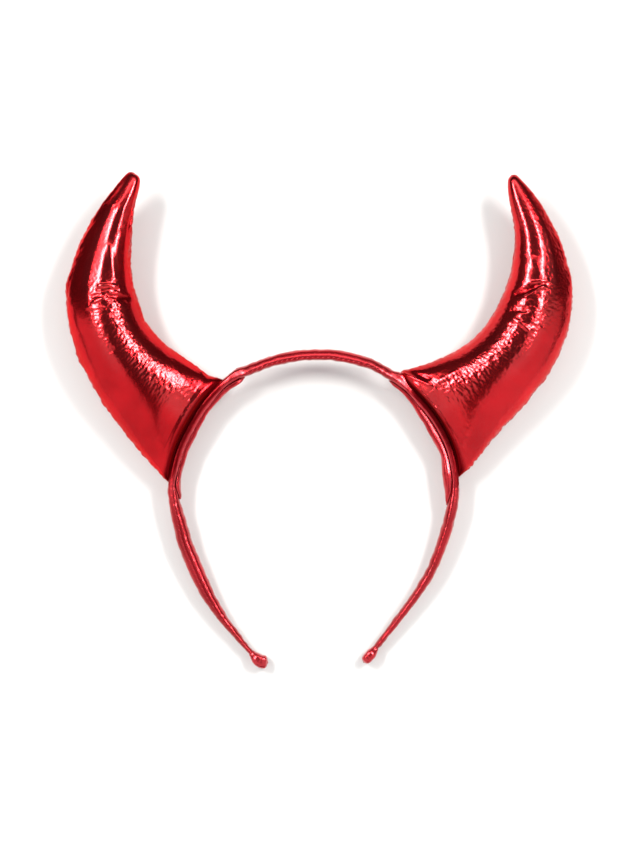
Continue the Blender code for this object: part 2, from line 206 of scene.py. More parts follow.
# %% A small way to write node graphs
class Wire:
    """A socket that carries a number, a colour or a vector through a node tree."""

    def __init__(self, tree, socket):
        self.tree, self.socket = tree, socket

    def node(self, kind, settings=None, inputs=None, output=0):
        """Any node: its type, its settings first, then values or wires for its sockets."""
        made = self.tree.nodes.new(kind)
        for name, value in (settings or {}).items():
            setattr(made, name, value)
        for name, value in (inputs or {}).items():
            if isinstance(value, Wire):
                self.tree.links.new(value.socket, made.inputs[name])
            else:
                made.inputs[name].default_value = value
        return Wire(self.tree, made.outputs[output])

    def sum_with(self, operation, first, second=0.0):
        return self.node("ShaderNodeMath", {"operation": operation}, {0: first, 1: second})

    def __add__(self, other):
        return self.sum_with("ADD", self, other)

    __radd__ = __add__

    def __mul__(self, other):
        return self.sum_with("MULTIPLY", self, other)

    __rmul__ = __mul__

    def __sub__(self, other):
        return self.sum_with("SUBTRACT", self, other)

    def __rsub__(self, other):
        return self.sum_with("SUBTRACT", other, self)

    def clamped(self):
        return self.sum_with("MAXIMUM", self.sum_with("MINIMUM", self, 1.0), 0.0)

    def spread(self, from_low, from_high, to_low, to_high):
        """Maps one range of values to another and stays inside it."""
        return self.node(
            "ShaderNodeMapRange", {},
            {0: self, 1: from_low, 2: from_high, 3: to_low, 4: to_high},
        )

    def tint(self, first, second):
        """The first colour where this wire is 0, the second where it is 1."""
        first, second = (c if isinstance(c, Wire) else (*c, 1.0) for c in (first, second))
        inputs = {"Factor": self, 6: first, 7: second}
        return self.node("ShaderNodeMix", {"data_type": "RGBA"}, inputs, 2)

    def into(self, shader, name):
        """Leads this wire into one input of a shader."""
        self.tree.links.new(self.socket, shader.inputs[name])


# %% [markdown]
# ## Metallic cloth
# The cloth is a fine knit with a red foil pressed on it. The foil mirrors like metal, the knit
# breaks each highlight into fine grain, and rubbing along folds and seams takes the foil thin,
# so that it turns lighter and duller there; the same lighter colour is a painted highlight on
# the rims of the horns, the ridge of the sleeve and the edges of the wraps. Where the point
# attribute of wear and painted light is below zero, a painted shade darkens the foil: in the
# folds beside the band and the horns, in creases, beside the seam of the legs and below the
# top's edge. A clear lacquer lies on the foil, thickest where the gloss attribute is 1, and
# whitens the highlights. The sleeve has less foil and a satin look. The graph follows the
# cloth's own UV map, in centimetres, so the rows of the knit run round each horn as they were cut.

# %% The surface of the cloth
UV_NAME = "cloth"
KNIT_PER_CM = 9.0
KNIT_HEIGHT = 0.000035
CRUSH_PER_CM = 11.0
CRUSH_STRETCH = (1.0, 0.55, 1.0)
CRUSH_HEIGHT = 0.00010
BUMP_STRENGTH = 0.3


def knit_on(place):
    """How high the knit stands: its ribs times its yarns."""
    waves = [
        place.node(
            "ShaderNodeTexWave", {"wave_type": "BANDS", "bands_direction": way},
            {"Vector": place, "Scale": scale, "Distortion": wander, "Detail": 1.0}, "Fac",
        )
        for way, scale, wander in (("X", KNIT_PER_CM, 1.4), ("Y", KNIT_PER_CM * 0.7, 2.0))
    ]
    return waves[0] * waves[1]


def cloth_normal(place, knit):
    """The normal of crushed foil with the knit on top."""
    cells = place.node("ShaderNodeMapping", {}, {"Vector": place, "Scale": CRUSH_STRETCH})
    grain = place.node(
        "ShaderNodeTexNoise", {},
        {"Vector": cells, "Scale": CRUSH_PER_CM, "Detail": 2.0, "Distortion": 0.6},
    )
    foil = {"Height": grain, "Strength": BUMP_STRENGTH, "Distance": CRUSH_HEIGHT}
    crushed = place.node("ShaderNodeBump", {}, foil)
    woven = {"Height": knit, "Strength": BUMP_STRENGTH, "Distance": KNIT_HEIGHT, "Normal": crushed}
    return place.node("ShaderNodeBump", {}, woven)


# %% [markdown]
# The colour moves between two reds, as foil is never pressed on evenly. What the attributes say
# about wear, painted highlight, painted shade and gloss comes on top of it, so one material
# serves both cloths.

# %% The cloth material
FOIL = ((0.48, 0.0055, 0.010), (0.64, 0.009, 0.015))
SATIN = ((0.38, 0.0035, 0.010), (0.52, 0.0065, 0.016))
# The lighter red is rubbed foil and also a painted highlight on rims, ridges and wrap edges; the
# near-black red is painted shade for folds and creases.
FOIL_WEAR_AND_HIGHLIGHT = (0.64, 0.115, 0.135)
FOIL_PAINTED_SHADE = (0.15, 0.001, 0.003)
TONE_PER_M = 55.0
RUBBED_PER_M = 420.0
WEAR_HIGHLIGHT_SHARE = 0.55
KNIT_ROUGH, WORN_ROUGH, DEEP_ROUGH, COAT_ROUGH = 0.06, 0.14, 0.12, 0.04
FIXED_INPUTS = {
    "Specular Tint": (1.0, 0.24, 0.27, 1.0),
    "Sheen Weight": 0.015,
    "Sheen Roughness": 0.4,
    "Sheen Tint": (1.0, 0.30, 0.34, 1.0),
}


def cloth_material(name, colours, metal, roughness, coat, coat_index):
    made = bpy.data.materials.new(name)
    made.use_nodes = True
    shader = made.node_tree.nodes["Principled BSDF"]
    start = Wire(made.node_tree, None)
    place = start.node("ShaderNodeUVMap", {"uv_map": UV_NAME})
    solid = start.node("ShaderNodeTexCoord", {}, {}, "Object")
    wear_and_painted_light, gloss = [
        start.node("ShaderNodeAttribute", {"attribute_name": kind}, {}, "Fac")
        for kind in ("wear_and_painted_light", "gloss")
    ]
    tone, rubbed = [
        start.node("ShaderNodeTexNoise", {}, {"Vector": solid, "Scale": scale, "Detail": detail})
        for scale, detail in ((TONE_PER_M, 3.0), (RUBBED_PER_M, 4.0))
    ]
    # Above zero the point attribute is rubbed foil and a painted highlight, below zero it is
    # painted shade.
    wear_and_highlight = (wear_and_painted_light * rubbed.spread(0.35, 0.65, 0.2, 1.0)).clamped()
    deep = (0.0 - wear_and_painted_light).clamped()
    knit = knit_on(place)

    red = tone.spread(0.35, 0.65, 0.0, 1.0).tint(*colours)
    deep.tint((wear_and_highlight * WEAR_HIGHLIGHT_SHARE).tint(red, FOIL_WEAR_AND_HIGHLIGHT), FOIL_PAINTED_SHADE).into(shader, "Base Color")
    rough = roughness + knit * KNIT_ROUGH + wear_and_highlight * WORN_ROUGH + deep * DEEP_ROUGH
    rough.into(shader, "Roughness")
    (coat * gloss * (1.0 - deep)).clamped().into(shader, "Coat Weight")
    cloth_normal(place, knit).into(shader, "Normal")
    shader.inputs["Metallic"].default_value = metal
    shader.inputs["Coat Roughness"].default_value = roughness + COAT_ROUGH
    shader.inputs["Coat IOR"].default_value = coat_index
    for kind, value in FIXED_INPUTS.items():
        shader.inputs[kind].default_value = value
    return made


horn_cloth = cloth_material("horn_cloth", FOIL, 0.96, 0.13, 1.0, 1.40)
sleeve_cloth = cloth_material("sleeve_cloth", SATIN, 0.74, 0.19, 0.9, 1.42)

# %% [markdown]
# ## Making a mesh from a grid
# Every cloth piece is a grid of points: rows along it and columns across or round it. The grid
# gives the faces, the normals for wrinkles and the UV map at once.

# %% Grids to meshes
def grid_normals(points, closed):
    """Unit normals of a grid of points, outwards where it closes on itself."""
    along = np.gradient(points, axis=0)
    if closed:
        round_it = np.roll(points, -1, axis=1) - np.roll(points, 1, axis=1)
    else:
        round_it = np.gradient(points, axis=1)
    normal = np.cross(round_it, along)
    return normal / np.maximum(np.linalg.norm(normal, axis=2, keepdims=True), 1e-9)


def lengths_on(points, closed):
    """For each point, the length along its column and across its row, in centimetres."""
    if closed:
        points = np.concatenate([points, points[:, :1]], axis=1)
    down = np.linalg.norm(np.diff(points, axis=0), axis=2).mean(axis=1)
    along = np.concatenate([[0], np.cumsum(down)])
    over = np.linalg.norm(np.diff(points, axis=1), axis=2)
    across = np.concatenate([np.zeros((len(points), 1)), np.cumsum(over, axis=1)], axis=1)
    across -= across[:, -1:] / 2
    return np.stack([np.broadcast_to(along[:, None], across.shape), across], axis=-1) * 100


def point_values(mesh, name, values, shape):
    """Stores a value for each point of a grid, which a material can read by name."""
    layer = mesh.attributes.new(name, "FLOAT", "POINT")
    layer.data.foreach_set("value", np.broadcast_to(values, shape).astype(np.float32).ravel())


def cloth_object(name, points, closed, wear_and_painted_light, finish, caps=(), gloss=1.0):
    """A mesh object from a grid in metres, with its UV map, its wear, painted highlight and
    painted shade, its gloss and material.
    """
    rows, columns = points.shape[:2]
    step = columns if closed else columns - 1
    row, column = np.meshgrid(np.arange(rows - 1), np.arange(step), indexing="ij")
    right = (column + 1) % columns
    corners = [(row, column), (row, right), (row + 1, right), (row + 1, column)]
    faces = np.stack([r * columns + c for r, c in corners], axis=-1).reshape(-1, 4)
    uv = lengths_on(points, closed)
    uv_corners = [(row, column), (row, column + 1), (row + 1, column + 1), (row + 1, column)]
    loops = np.stack([uv[r, c] for r, c in uv_corners], axis=2).reshape(-1, 2)
    faces = [tuple(face) for face in faces.tolist()]
    for cap in caps:
        faces += cap
        loops = np.concatenate([loops, np.zeros((sum(len(face) for face in cap), 2))])
    mesh = bpy.data.meshes.new(name)
    mesh.from_pydata(points.reshape(-1, 3).tolist(), [], faces)
    layer = mesh.uv_layers.new(name=UV_NAME)
    layer.data.foreach_set("uv", loops.astype(np.float32).ravel())
    point_values(mesh, "wear_and_painted_light", wear_and_painted_light, (rows, columns))
    point_values(mesh, "gloss", gloss, (rows, columns))
    mesh.polygons.foreach_set("use_smooth", np.ones(len(faces), bool))
    mesh.materials.append(finish)
    made = bpy.data.objects.new(name, mesh)
    bpy.context.scene.collection.objects.link(made)
    return made


def strip_cap(first, columns, flip):
    """Faces that close a flattened ring of points from its front half to its back half."""
    faces = []
    for step in range(columns // 2):
        ring = (step, step + 1, columns - step - 1, (columns - step) % columns)
        face = tuple(dict.fromkeys(first + place for place in ring))
        faces.append(face[::-1] if flip else face)
    return faces


# %% Walls, flat sizes and smooth noise
def add_wall(piece, wall, offset):
    """Gives a sheet the thickness of cloth, in millimetres."""
    made = piece.modifiers.new("wall", "SOLIDIFY")
    made.thickness = wall * MM
    made.offset = offset


def flat_size(points, closed, wall):
    """Width and length of a grid of cloth laid flat, in metres."""
    if closed:
        points = np.concatenate([points, points[:, :1]], axis=1)
    across = np.linalg.norm(np.diff(points, axis=1), axis=2).sum(axis=1).mean()
    along = np.linalg.norm(np.diff(points, axis=0), axis=2).sum(axis=0).mean()
    return round(float(across) + wall * MM, 4), round(float(along) + wall * MM, 4)


def grainy(u, v, size_u, size_v, seed):
    """Smooth noise over a grid of lengths, about -1 to 1, the same on every run."""
    flat = zip((u / size_u).ravel().tolist(), (v / size_v).ravel().tolist())
    values = [noise.noise((a, b, seed)) for a, b in flat]
    return np.array(values).reshape(np.shape(u)) * 1.6


def soft_step(value, low, high):
    """From 0 to 1 between low and high, level at both ends."""
    part = np.clip((value - low) / (high - low), 0, 1)
    return part * part * (3 - 2 * part)


# %% [markdown]
# ## The band
# A springy plastic strip is inside, and only its cloth sleeve shows. The sleeve is a tube, so a
# ring of points swept along the band is the natural way to make it. Its seam runs along the
# front as a low ridge, and the cloth puckers on both sides of the seam and wherever the band
# bends or meets a horn.

# %% Stations of the band
BAND_ROWS = (
    # x, y, thick, depth
    (-26.4, -78.1, 1.9, 4.0),
    (-29.4, -75.0, 2.4, 4.6),
    (-33.5, -70.2, 2.9, 5.2),
    (-42.1, -59.4, 4.4, 6.4),
    (-48.8, -48.6, 6.0, 7.4),
    (-53.8, -37.8, 6.7, 8.0),
    (-58.3, -27.0, 6.7, 8.2),
    (-61.2, -16.2, 6.1, 8.2),
    (-63.4, -6.8, 5.0, 7.8),
    (-64.1, 1.5, 3.7, 7.2),
    (-60.9, 15.4, 3.5, 7.0),
    (-55.6, 26.5, 3.5, 7.0),
    (-49.7, 35.8, 3.5, 7.0),
    (-41.4, 44.6, 3.6, 7.0),
    (-34.2, 49.4, 4.2, 7.6),
    (-30.2, 51.1, 4.7, 8.2),
    (-20.2, 55.0, 4.8, 8.2),
    (-8.6, 57.6, 4.9, 8.2),
    (1.4, 58.2, 4.9, 8.2),
    (11.2, 57.6, 4.9, 8.2),
    (24.8, 54.1, 4.8, 8.2),
    (33.0, 49.6, 4.4, 7.8),
    (41.2, 43.4, 3.5, 7.0),
    (50.5, 33.8, 3.5, 7.0),
    (56.6, 24.7, 3.5, 7.0),
    (60.7, 15.5, 3.5, 7.0),
    (62.6, 6.4, 3.6, 7.0),
    (62.9, -1.8, 3.9, 7.2),
    (61.7, -10.5, 4.9, 8.0),
    (59.6, -18.9, 5.0, 8.0),
    (57.0, -27.0, 4.7, 7.8),
    (52.8, -37.8, 4.5, 7.3),
    (46.4, -48.6, 4.1, 6.8),
    (38.4, -59.4, 3.4, 6.0),
    (30.0, -70.2, 2.8, 5.0),
    (27.6, -73.2, 2.4, 4.5),
    (24.8, -76.8, 1.9, 4.0),
)
BAND_PATH = path_of(BAND_ROWS)
BAND_LENGTH = BAND_PATH[1][-1]
CROWN_X = 1.4
CROWN = np.interp(CROWN_X, BAND_PATH[0][:, 0], BAND_PATH[1])
print("band length, mm:", round(BAND_LENGTH, 1))

# %% [markdown]
# The section is a rounded rectangle, softer on the legs, and leans back a little on the top of
# the arch. The seam has its own table, because it wanders from side to side: beside the horns it
# is pulled to the inner edge.

# %% The seam and the section
BAND_STEPS = 680
BAND_AROUND = 44
CLOTH_WALL = 0.25
BAND_SQUARENESS = 3.0
LEG_SQUARENESS = 2.2
LEG_START = (98, 112)  # from the crown: where the section changes to that of the legs
TOP_STOP = (32, 44)  # from the crown: where the lean of the top fades out
TOP_LEAN = 0.36
BULGES = (
    # along from the crown, reach, how far outwards
    (-38.0, 3.5, 0.7),
    (39.5, 4.0, 1.7),
)
SEAM_ROWS = (
    # along from the crown, place across (-1 inner, 1 outer), ridge height, ridge width
    (-190.0, 0.10, 0.10, 0.9),
    (-165.0, 0.20, 0.16, 0.8),
    (-125.0, 0.25, 0.26, 0.8),
    (-108.0, 0.05, 0.30, 0.8),
    (-96.0, -0.50, 0.46, 0.8),
    (-84.0, -0.86, 0.52, 0.7),
    (-56.0, -0.86, 0.52, 0.7),
    (-44.0, -0.50, 0.42, 0.8),
    (-30.0, -0.45, 0.16, 1.1),
    (0.0, -0.55, 0.12, 1.2),
    (28.0, -0.45, 0.16, 1.1),
    (40.0, -0.30, 0.42, 0.8),
    (52.0, -0.80, 0.52, 0.7),
    (84.0, -0.60, 0.50, 0.7),
    (98.0, -0.20, 0.36, 0.8),
    (112.0, -0.25, 0.28, 0.9),
    (150.0, -0.20, 0.24, 0.9),
    (190.0, -0.10, 0.12, 0.9),
)
PUCKER_DEPTH = 0.16
WRINKLE_DEPTH = 0.15


def power_ring(angles, half_out, half_forward, squareness):
    """Points of a soft-cornered ring: how far outwards and how far forward."""
    cos, sin = np.cos(angles), np.sin(angles)
    out = half_out * np.sign(cos) * np.abs(cos) ** (2 / squareness)
    forward = half_forward * np.sign(sin) * np.abs(sin) ** (2 / squareness)
    return out, forward


def band_zones(along):
    """How much of a leg and how much of the top each length from the crown is, and how square."""
    leg = soft_step(np.abs(along), *LEG_START)
    top = 1 - soft_step(np.abs(along), *TOP_STOP)
    return leg, top, BAND_SQUARENESS + (LEG_SQUARENESS - BAND_SQUARENESS) * leg


def out_of_path(rows, normals, out, forward):
    """Points that lie this far outwards and forward of rows on a path."""
    x = rows[:, 0:1] + normals[:, 0:1] * out
    y = rows[:, 1:2] + normals[:, 1:2] * out
    return np.stack([x, y, forward], axis=-1)


def seam_values(along):
    """Columns of the seam table at lengths from the crown."""
    table = np.array(SEAM_ROWS)
    return [np.interp(along, table[:, 0], table[:, column]) for column in (1, 2, 3)]


# %% The sleeve
def sleeve_shape():
    """The plain sleeve as a grid in the headband's plane, with the section of each row."""
    lengths = np.linspace(0, BAND_LENGTH, BAND_STEPS)
    rows, normals = sample(BAND_PATH, lengths)
    angles = np.linspace(0, 2 * math.pi, BAND_AROUND, endpoint=False)
    # more points on the front, where the ridge of the seam runs
    angles = angles - 0.35 * np.sin(2 * angles)
    along = (lengths - CROWN)[:, None] + 0 * angles
    half_out, half_forward = rows[:, 2:3] / 2, rows[:, 3:4] / 2
    _, top, squareness = band_zones(along)
    out, forward = power_ring(angles[None, :], half_out, half_forward, squareness)
    forward = forward - TOP_LEAN * top * out * soft_step(forward, 0.0, 2.0)
    for middle, reach, proud in BULGES:
        out += proud * np.exp(-(((along - middle) / reach) ** 2)) * soft_step(out, 0, 1.5)
    return out_of_path(rows, normals, out, forward), along, angles, out, half_out, forward > 0


def sleeve_points():
    """The sleeve with its ridge, puckers and wrinkles, and at each point its wear, painted
    highlight and painted shade.
    """
    points, along, angles, out, half_out, front = sleeve_shape()
    leg, top, _ = band_zones(along)
    place, height, width = seam_values(along)
    beside = out - place * half_out
    ridge = height * np.exp(-((beside / (0.45 * width)) ** 2)) * front
    pucker = np.maximum(grainy(along, beside, 1.5, 3.0, 3.1), 0)
    pucker = -PUCKER_DEPTH * pucker * np.exp(-(((np.abs(beside) - 0.9) / 0.7) ** 2))
    round_place = np.broadcast_to(angles * 2.0, along.shape)
    wrinkle = grainy(along + 0.6 * round_place, round_place, 2.6, 3.2, 8.4)
    beside_horn = soft_step(np.abs(along), 40, 48) * soft_step(100 - np.abs(along), 0, 8)
    edges = np.abs(out) / half_out
    wrinkle = WRINKLE_DEPTH * wrinkle * (0.35 + 0.9 * edges**3) * (1 - 0.5 * beside_horn)
    lift = ridge + pucker * front + wrinkle

    # painted shade: dark in the fold beside the horns, beside the seam of the legs and below the
    # top's edge
    outer = soft_step(beside, 0.15, 0.6) * front
    beside_seam = np.exp(-((beside / 1.5) ** 2)) * front
    deep = 0.95 * beside_horn * outer + 0.60 * leg * beside_seam
    deep += 0.45 * top * front * soft_step(-out, 0.6, 1.6)
    # The ridge is lighter: rubbed foil and a painted highlight.
    wear_and_painted_light = np.clip(ridge * 1.6, 0, 1)
    return points + grid_normals(points, True) * lift[..., None], wear_and_painted_light - deep * (1 - wear_and_painted_light)


sleeve, band_wear_and_painted_light = sleeve_points()
placed = lie_down(sleeve)
band_sleeve = cloth_object("band_sleeve", placed, True, band_wear_and_painted_light, sleeve_cloth)
add_wall(band_sleeve, CLOTH_WALL, -1.0)

# %% [markdown]
# ## The horns
# Each horn is two flat panels sewn together along the inner and outer curve, turned and stuffed.
# Its sections are known from the picture: the two ends of each section, how deep it is and how
# full. A loft through them gives the outline exactly. On the upper half the front is drawn into
# two flat facets, which mirror the softboxes as two long streaks. The cloth itself is settled by
# a cloth simulation afterwards, because gathers and creases are what flat panels do when they
# are stuffed round.

# %% Stations of the horns
HORN_ROWS = {
    "left": (
        # inner x, inner y, outer x, outer y, depth, bow, fullness
        (-47.7, 49.1, -70.7, 5.4, 17.0, 2.6, 0.44),
        (-53.6, 53.1, -77.9, 13.5, 22.6, 1.6, 0.50),
        (-60.8, 58.1, -86.4, 24.3, 25.8, 0.9, 0.54),
        (-67.5, 63.0, -95.0, 35.6, 27.7, 0.4, 0.57),
        (-73.4, 69.3, -102.6, 48.1, 28.6, 0.0, 0.58),
        (-77.4, 76.0, -108.5, 62.1, 28.2, 0.0, 0.58),
        (-80.0, 83.7, -111.9, 75.6, 26.6, 0.0, 0.58),
        (-82.4, 92.2, -111.8, 89.1, 24.2, 0.0, 0.57),
        (-83.1, 101.7, -108.5, 102.0, 21.2, 0.0, 0.56),
        (-82.7, 112.0, -103.4, 114.0, 17.2, 0.0, 0.55),
        (-81.3, 123.3, -96.7, 124.9, 14.0, 0.0, 0.54),
        (-79.3, 131.4, -90.1, 133.5, 9.8, 0.0, 0.53),
        (-78.8, 137.4, -85.6, 138.8, 6.0, 0.0, 0.52),
        (-81.2, 139.9, -83.8, 140.3, 2.4, 0.0, 0.50),
    ),
    "right": (
        # inner x, inner y, outer x, outer y, depth, bow, fullness
        (38.9, 50.9, 70.0, 7.6, 17.0, 3.1, 0.44),
        (48.8, 53.7, 76.5, 15.5, 22.2, 1.6, 0.50),
        (57.1, 57.1, 84.7, 24.9, 25.3, 0.9, 0.54),
        (63.9, 60.4, 92.7, 33.5, 27.2, 0.4, 0.57),
        (69.8, 64.6, 99.5, 41.6, 28.3, 0.0, 0.58),
        (75.2, 70.0, 105.8, 50.1, 28.7, 0.0, 0.58),
        (80.2, 77.0, 111.1, 61.0, 27.9, 0.0, 0.58),
        (84.6, 85.5, 114.8, 73.8, 25.8, 0.0, 0.57),
        (87.8, 94.5, 115.7, 88.2, 23.0, 0.0, 0.57),
        (89.5, 104.4, 113.4, 99.9, 19.5, 0.0, 0.56),
        (89.8, 114.3, 109.4, 111.6, 16.5, 0.0, 0.55),
        (88.2, 123.3, 103.5, 122.9, 13.0, 0.0, 0.54),
        (86.9, 131.0, 97.7, 131.4, 9.5, 0.0, 0.53),
        (86.8, 136.6, 92.8, 137.0, 6.0, 0.0, 0.52),
        (88.2, 138.9, 90.8, 139.0, 2.4, 0.0, 0.50),
    ),
}
HORN_BASE = {"left": (-44.0, -96.5), "right": (39.5, 91.0)}
BASE_DEPTH = 7.4
BASE_FULLNESS = 0.30
BASE_TUCK = -0.3
BASE_SHARE = 0.06
TIP_ROUND = 0.3
FACETS = {
    # where it starts across, its slope
    "left": ((0.42, 0.33), (0.64, 0.42)),
    "right": ((0.49, 0.33), (0.72, 0.42)),
}
FACET_BLEND = 2.6
FACET_ROWS = (4.8, 8.4)  # rows over which the facets of the upper half begin
FACET_END = (14.0, 2.5)  # the row where they end, and over how many rows
OUTER_FULLNESS = 0.58
PEAK_SKEW = 0.86
BASE_RISE = 4.0

# %% [markdown]
# Folds that the picture shows are listed one row each: a line from one point to another,
# how wide the fold is, and how far it stands up, or goes in where the height is negative. The
# simulation adds the small irregular ones between them.

# %% Folds of the horns
FOLDS = {
    "left": (
        # from x, from y, to x, to y, width, height
        (-81.5, 135.6, -88.5, 114.0, 1.8, 0.10),
        (-92.0, 106.5, -89.5, 92.5, 2.4, 0.22),
        (-96.0, 88.7, -88.4, 88.6, 1.3, 0.38),
        (-95.3, 85.3, -89.4, 87.2, 1.2, 0.34),
        (-97.0, 86.8, -88.0, 86.8, 1.0, -0.34),
        (-98.1, 81.4, -92.8, 83.8, 1.2, 0.34),
        (-92.0, 83.8, -84.0, 83.0, 2.8, -0.55),
        (-99.0, 83.6, -93.0, 86.0, 1.3, -0.30),
        (-101.0, 79.0, -94.0, 78.6, 1.3, 0.22),
    ),
    "right": (
        # from x, from y, to x, to y, width, height
        (87.0, 136.0, 91.8, 129.0, 1.7, 0.10),
        (97.5, 100.0, 99.8, 95.0, 3.8, 0.28),
        (93.8, 83.8, 101.8, 88.3, 1.2, 0.42),
        (90.2, 84.8, 97.5, 88.0, 3.0, -0.65),
        (96.3, 90.4, 103.4, 90.9, 1.1, 0.28),
        (96.5, 89.0, 103.0, 89.6, 1.4, -0.20),
        (88.3, 73.8, 95.3, 68.7, 1.8, 0.42),
        (88.0, 77.5, 93.5, 78.0, 2.4, -0.38),
        (54.9, 45.9, 63.0, 50.4, 2.2, 0.20),
        (40.0, 49.6, 51.8, 44.1, 1.1, 0.42),
        (42.0, 50.6, 50.5, 47.4, 2.0, -0.40),
    ),
}


def fold_height(folds, plane):
    """How far the folds lift each point, by its distance from each fold's line."""
    total = np.zeros(plane.shape[:2])
    for x0, y0, x1, y1, width, height in folds:
        start, run = np.array([x0, y0]), np.array([x1 - x0, y1 - y0])
        long = np.linalg.norm(run)
        share = ((plane[..., :2] - start) @ run) / long**2
        beside = plane[..., :2] - start - np.clip(share, 0, 1)[..., None] * run
        total += height * np.exp(-((np.linalg.norm(beside, axis=-1) / (0.6 * width)) ** 2))
    return total


# %% [markdown]
# A horn could be a bent cone, but both its outline and its fullness change along the bend. So
# its sections are set one by one: a chord from the inner to the outer edge, and an arch over it
# on the front and the back. The first row sits on the edge of the band.

# %% The horn's loft
def horn_stations(rows, count):
    """Row numbers that lie evenly along the middle of a horn, from its base at -1 to its tip."""
    fine = np.linspace(0, len(rows) - 1, 40 * len(rows))
    ends = between(rows, fine)
    middle = (ends[:, 0:2] + ends[:, 2:4]) / 2
    along = np.concatenate([[0], np.cumsum(np.hypot(*np.diff(middle, axis=0).T))])
    base_count = int(count * BASE_SHARE)
    even = np.interp(np.linspace(0, along[-1], count - base_count), along, fine)
    return np.concatenate([np.linspace(-1, 0, base_count, endpoint=False), even]), along[-1]


def section_height(facets, values, width, stations, across, front):
    """Half depth over a section: round at the inner side, with flat facets outwards of it."""
    last, fade = FACET_END
    upper = (soft_step(stations, *FACET_ROWS) * soft_step(last - stations, 0.0, fade))[:, None]
    skewed = across ** (1 + (PEAK_SKEW - 1) * upper)
    arch = np.clip(4 * skewed * (1 - skewed), 0, 1)
    outer = soft_step(across, 0.45, 0.75) * upper
    fullness = values[:, 6:7] * (1 + (OUTER_FULLNESS - 1) * outer)
    half = values[:, 4:5] / 2
    height = half * arch**fullness
    limit = half
    for start, slope in facets:
        beyond = (across - start) * width
        limit = limit - slope * np.logaddexp(0, 3 * beyond) / 3
    faceted = -np.logaddexp(-FACET_BLEND * height, -FACET_BLEND * limit) / FACET_BLEND
    share = soft_step(height, 0.0, 1.0) * upper * np.maximum(front, 0)
    return height + (np.maximum(faceted, 0.0) - height) * share


def horn_loft(side, count, around):
    """Grid of a smooth horn in the headband's plane, with its place along and across."""
    rows = HORN_ROWS[side]
    stations, _ = horn_stations(rows, count)
    turn = np.arange(around) / around * 2 * math.pi
    across = (1 - np.cos(turn)) / 2
    arch = 4 * across * (1 - across)
    front = np.where(turn < math.pi, 1.0, -1.0)
    start, stop = HORN_BASE[side]
    band_row, band_normal = sample(BAND_PATH, CROWN + start + (stop - start) * across)
    edge = band_row[:, :2] + band_normal * (band_row[:, 2:3] / 2 + BASE_TUCK)
    values = between(rows, np.maximum(stations, 0))
    inner, outer = values[:, None, 0:2], values[:, None, 2:4]
    chord = outer - inner
    square = np.stack([-chord[..., 1], chord[..., 0]], axis=-1) * np.sign(rows[0][0])
    square /= np.linalg.norm(chord, axis=-1, keepdims=True)
    plane = inner + chord * across[:, None] + square * (values[:, 5:6] * arch)[..., None]
    width = np.linalg.norm(chord, axis=-1)
    half = section_height(
        FACETS[side], values, width, stations, across[None, :], front[None, :]
    )
    base = np.clip(stations + 1, 0, 1)[:, None]
    plane = edge + (plane - edge) * base[..., None]
    rise = np.where(front > 0, 1 - (1 - base) ** BASE_RISE, np.sin(base * math.pi / 2))
    base_half = BASE_DEPTH / 2 * arch**BASE_FULLNESS
    half = base_half + (half - base_half) * rise
    grid = np.concatenate([plane, (front * half)[..., None]], axis=-1)
    return grid, stations, across, front


for side, rows in HORN_ROWS.items():
    print(side, "horn length along its middle, mm:", round(horn_stations(rows, 120)[1], 1))

# %% [markdown]
# ## Settling the cloth
# The rest shape of the simulation is the flat cut: each section laid out as wide as half its
# girth, so the outer edge of the panel is longer than the finished outer seam and has to crimp,
# and the inner edge stays taut. Pressure stands for the stuffing. Only the wrinkles are kept:
# the slow part of the motion is taken out with a blur, so the horn keeps its outline.

# %% Cloth simulation
SIM_ROWS = 132
SIM_AROUND = 96
SIM_SCALE = 0.01
SIM_FRAMES = 22
SIM_CLOTH = {
    "quality": 6,
    "mass": 0.12,
    "tension_stiffness": 18.0,
    "compression_stiffness": 18.0,
    "shear_stiffness": 8.0,
    "bending_stiffness": 0.06,
    "use_pressure": True,
    "uniform_pressure_force": 5.0,
}
FLAT_LIFT = 0.2
CLOTH_CAP = 1.1
BLUR_CELLS = 7


def blurred(field, cells):
    """A field over a horn's grid, averaged over its neighbours along and round it."""
    reach = 2 * cells
    weights = np.exp(-0.5 * (np.arange(-reach, reach + 1) / cells) ** 2)
    weights /= weights.sum()
    padded = np.concatenate([field[:1]] * reach + [field] + [field[-1:]] * reach)
    along = sum(w * padded[i : i + len(field)] for i, w in enumerate(weights))
    return sum(w * np.roll(along, i - reach, axis=1) for i, w in enumerate(weights))


def flat_cut(grid):
    """The horn's two panels laid flat: every section as wide as half its girth."""
    inner, outer = grid[:, :1, :2], grid[:, grid.shape[1] // 2, None, :2]
    steps = np.linalg.norm(np.diff(np.concatenate([grid, grid[:, :1]], axis=1), axis=1), axis=2)
    girth = steps.sum(axis=1)[:, None, None]
    half_way = steps.shape[1] // 2
    walked = np.concatenate([np.zeros((len(grid), 1)), np.cumsum(steps, axis=1)], axis=1)
    share = walked[:, :-1] / (girth[:, :, 0] / 2)
    share = np.where(np.arange(steps.shape[1]) <= half_way, share, 2 - share)
    middle, chord = (inner + outer) / 2, outer - inner
    width = np.linalg.norm(chord, axis=-1, keepdims=True)
    plane = middle + chord / width * (share[..., None] - 0.5) * girth / 2
    lift = np.where(grid[..., 2:3] >= 0, FLAT_LIFT, -FLAT_LIFT)
    return np.concatenate([plane, lift], axis=-1)


